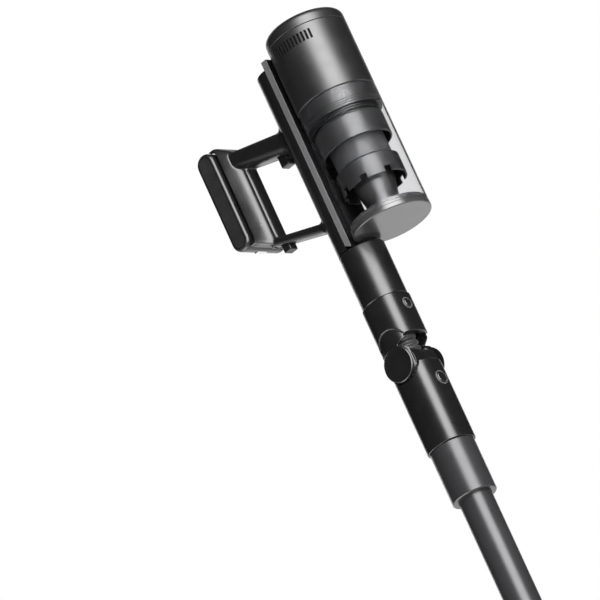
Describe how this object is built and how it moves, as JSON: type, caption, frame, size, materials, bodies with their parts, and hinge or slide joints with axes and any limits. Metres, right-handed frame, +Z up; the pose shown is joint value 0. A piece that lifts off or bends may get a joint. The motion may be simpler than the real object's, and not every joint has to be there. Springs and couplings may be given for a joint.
{
  "type": "cordless stick vacuum",
  "caption": "Cordless stick vacuum: motor and dust-cup barrel on a spine, loop handle with a flat battery, a folding wand and a powered floor head.",
  "frame": {"origin": "centre of the battery pack's flat rear face, which rests against a wall dock", "axes": "+Z up along the wand, +Y backwards out of the battery's rear face, -Y the front, X across the machine"},
  "size_m": [0.2515, 0.2553, 1.159],
  "materials": {
    "satin_black": "satin moulded, near black",
    "housing_charcoal": "satin charcoal with a soft broad highlight",
    "frame_grey": "satin mid grey",
    "smoky_clear": "clear, lightly smoked",
    "cyclone_black": "semi-gloss black",
    "mesh_steel": "fine perforated screen",
    "soft_rubber": "matt",
    "filter_foam": "open-cell foam",
    "filter_paper": "pleated paper",
    "bright_steel": "plain steel",
    "motor_copper": "copper windings",
    "board_green": "circuit board",
    "cell_sleeve": "sleeved cell",
    "painted_tube": "dark painted tube, semi-gloss",
    "brush_fibre": "short pile"
  },
  "bodies": {
    "main": {"spine_rear_cover": "satin_black", "dust_duct": "satin_black", "handle_left": "satin_black", "handle_right": "satin_black", "battery_case": "satin_black", "battery_cap_left": "satin_black", "battery_cap_right": "satin_black", "cell_carrier": "satin_black", "inlet_stub": "satin_black", "fold_fork": "satin_black", "hinge_cap_left": "satin_black", "hinge_cap_right": "satin_black", "motor_housing": "housing_charcoal", "top_cap": "housing_charcoal", "spine_front_frame": "frame_grey", "motor_mount": "soft_rubber", "fold_hose": "soft_rubber", "exhaust_filter": "filter_paper", "motor_can": "bright_steel", "lower_bearing": "bright_steel", "upper_bearing": "bright_steel", "trigger_spring": "bright_steel", "charging_socket": "bright_steel", "control_board": "board_green", "battery_cell_1": "cell_sleeve", "battery_cell_2": "cell_sleeve", "battery_cell_3": "cell_sleeve", "battery_cell_4": "cell_sleeve", "battery_cell_5": "cell_sleeve", "battery_cell_6": "cell_sleeve", "battery_cell_7": "cell_sleeve"},
    "cup": {"dust_cup": "smoky_clear", "cup_base": "satin_black", "cup_seal": "soft_rubber", "pre_filter": "filter_foam", "filter_housing": "cyclone_black", "cyclone_body": "cyclone_black", "mesh_shroud": "mesh_steel", "shroud_skirt": "cyclone_black", "dust_core": "cyclone_black"},
    "rotor": {"motor_rotor": "motor_copper", "impeller": "satin_black"},
    "lower_wand": {"fold_knee": "satin_black", "lower_collar": "satin_black", "lower_tube": "painted_tube", "neck_socket": "satin_black"},
    "floor_head": {"head_base": "satin_black", "head_cover": "satin_black", "brush_end_plug": "satin_black", "brush_motor": "bright_steel"},
    "cup_button": {"cup_release_button": "satin_black"},
    "trigger_body": {"trigger": "satin_black"},
    "latch": {"battery_latch": "satin_black"},
    "wand_button_body": {"wand_button": "satin_black"},
    "fold_button_body": {"fold_button": "satin_black"},
    "neck": {"neck_yoke": "satin_black"},
    "brush": {"brush_roller": "brush_fibre"},
    "left_wheel": {"wheel_left": "soft_rubber"},
    "right_wheel": {"wheel_right": "soft_rubber"}
  },
  "joints": [
    {"name": "fan_spin", "type": "hinge", "parent": "main", "child": "rotor", "pos_m": [0, -0.204, 0.061], "axis": [0, 0, 1], "continuous": true},
    {"name": "cup_slide", "type": "slide", "parent": "main", "child": "cup", "axis": [0, -1, 0], "range_m": [0, 0.06]},
    {"name": "cup_button_press", "type": "slide", "parent": "main", "child": "cup_button", "axis": [-1, 0, 0], "range_m": [0, 0.0025], "stiffness_N_per_m": 600, "springref_m": -0.002},
    {"name": "trigger_pull", "type": "slide", "parent": "main", "child": "trigger_body", "axis": [0, 0, 1], "range_m": [0, 0.006], "stiffness_N_per_m": 400, "springref_m": -0.003, "deforming": ["trigger_spring"]},
    {"name": "battery_latch_press", "type": "slide", "parent": "main", "child": "latch", "axis": [0, 0, 1], "range_m": [0, 0.0025], "stiffness_N_per_m": 600, "springref_m": -0.002},
    {"name": "wand_button_press", "type": "slide", "parent": "main", "child": "wand_button_body", "axis": [0, 1, 0], "range_m": [0, 0.003], "stiffness_N_per_m": 500, "springref_m": -0.002},
    {"name": "fold_hinge", "type": "hinge", "parent": "main", "child": "lower_wand", "pos_m": [0, -0.146, -0.308], "axis": [-1, 0, 0], "range_deg": [0, 90], "deforming": ["fold_hose"]},
    {"name": "fold_button_press", "type": "slide", "parent": "lower_wand", "child": "fold_button_body", "axis": [0, 1, 0], "range_m": [0, 0.003], "stiffness_N_per_m": 500, "springref_m": -0.002},
    {"name": "neck_swivel", "type": "hinge", "parent": "lower_wand", "child": "neck", "pos_m": [0, -0.146, -0.934], "axis": [0, 0, 1], "range_deg": [-60, 60]},
    {"name": "head_tilt", "type": "hinge", "parent": "neck", "child": "floor_head", "pos_m": [0, -0.146, -1], "axis": [1, 0, 0], "range_deg": [0, 80]},
    {"name": "brush_spin", "type": "hinge", "parent": "floor_head", "child": "brush", "pos_m": [0, -0.222, -1.002], "axis": [1, 0, 0], "continuous": true},
    {"name": "wheel_left_spin", "type": "hinge", "parent": "floor_head", "child": "left_wheel", "pos_m": [-0.095, -0.146, -1.01], "axis": [1, 0, 0], "continuous": true},
    {"name": "wheel_right_spin", "type": "hinge", "parent": "floor_head", "child": "right_wheel", "pos_m": [0.095, -0.146, -1.01], "axis": [1, 0, 0], "continuous": true}
  ]
}
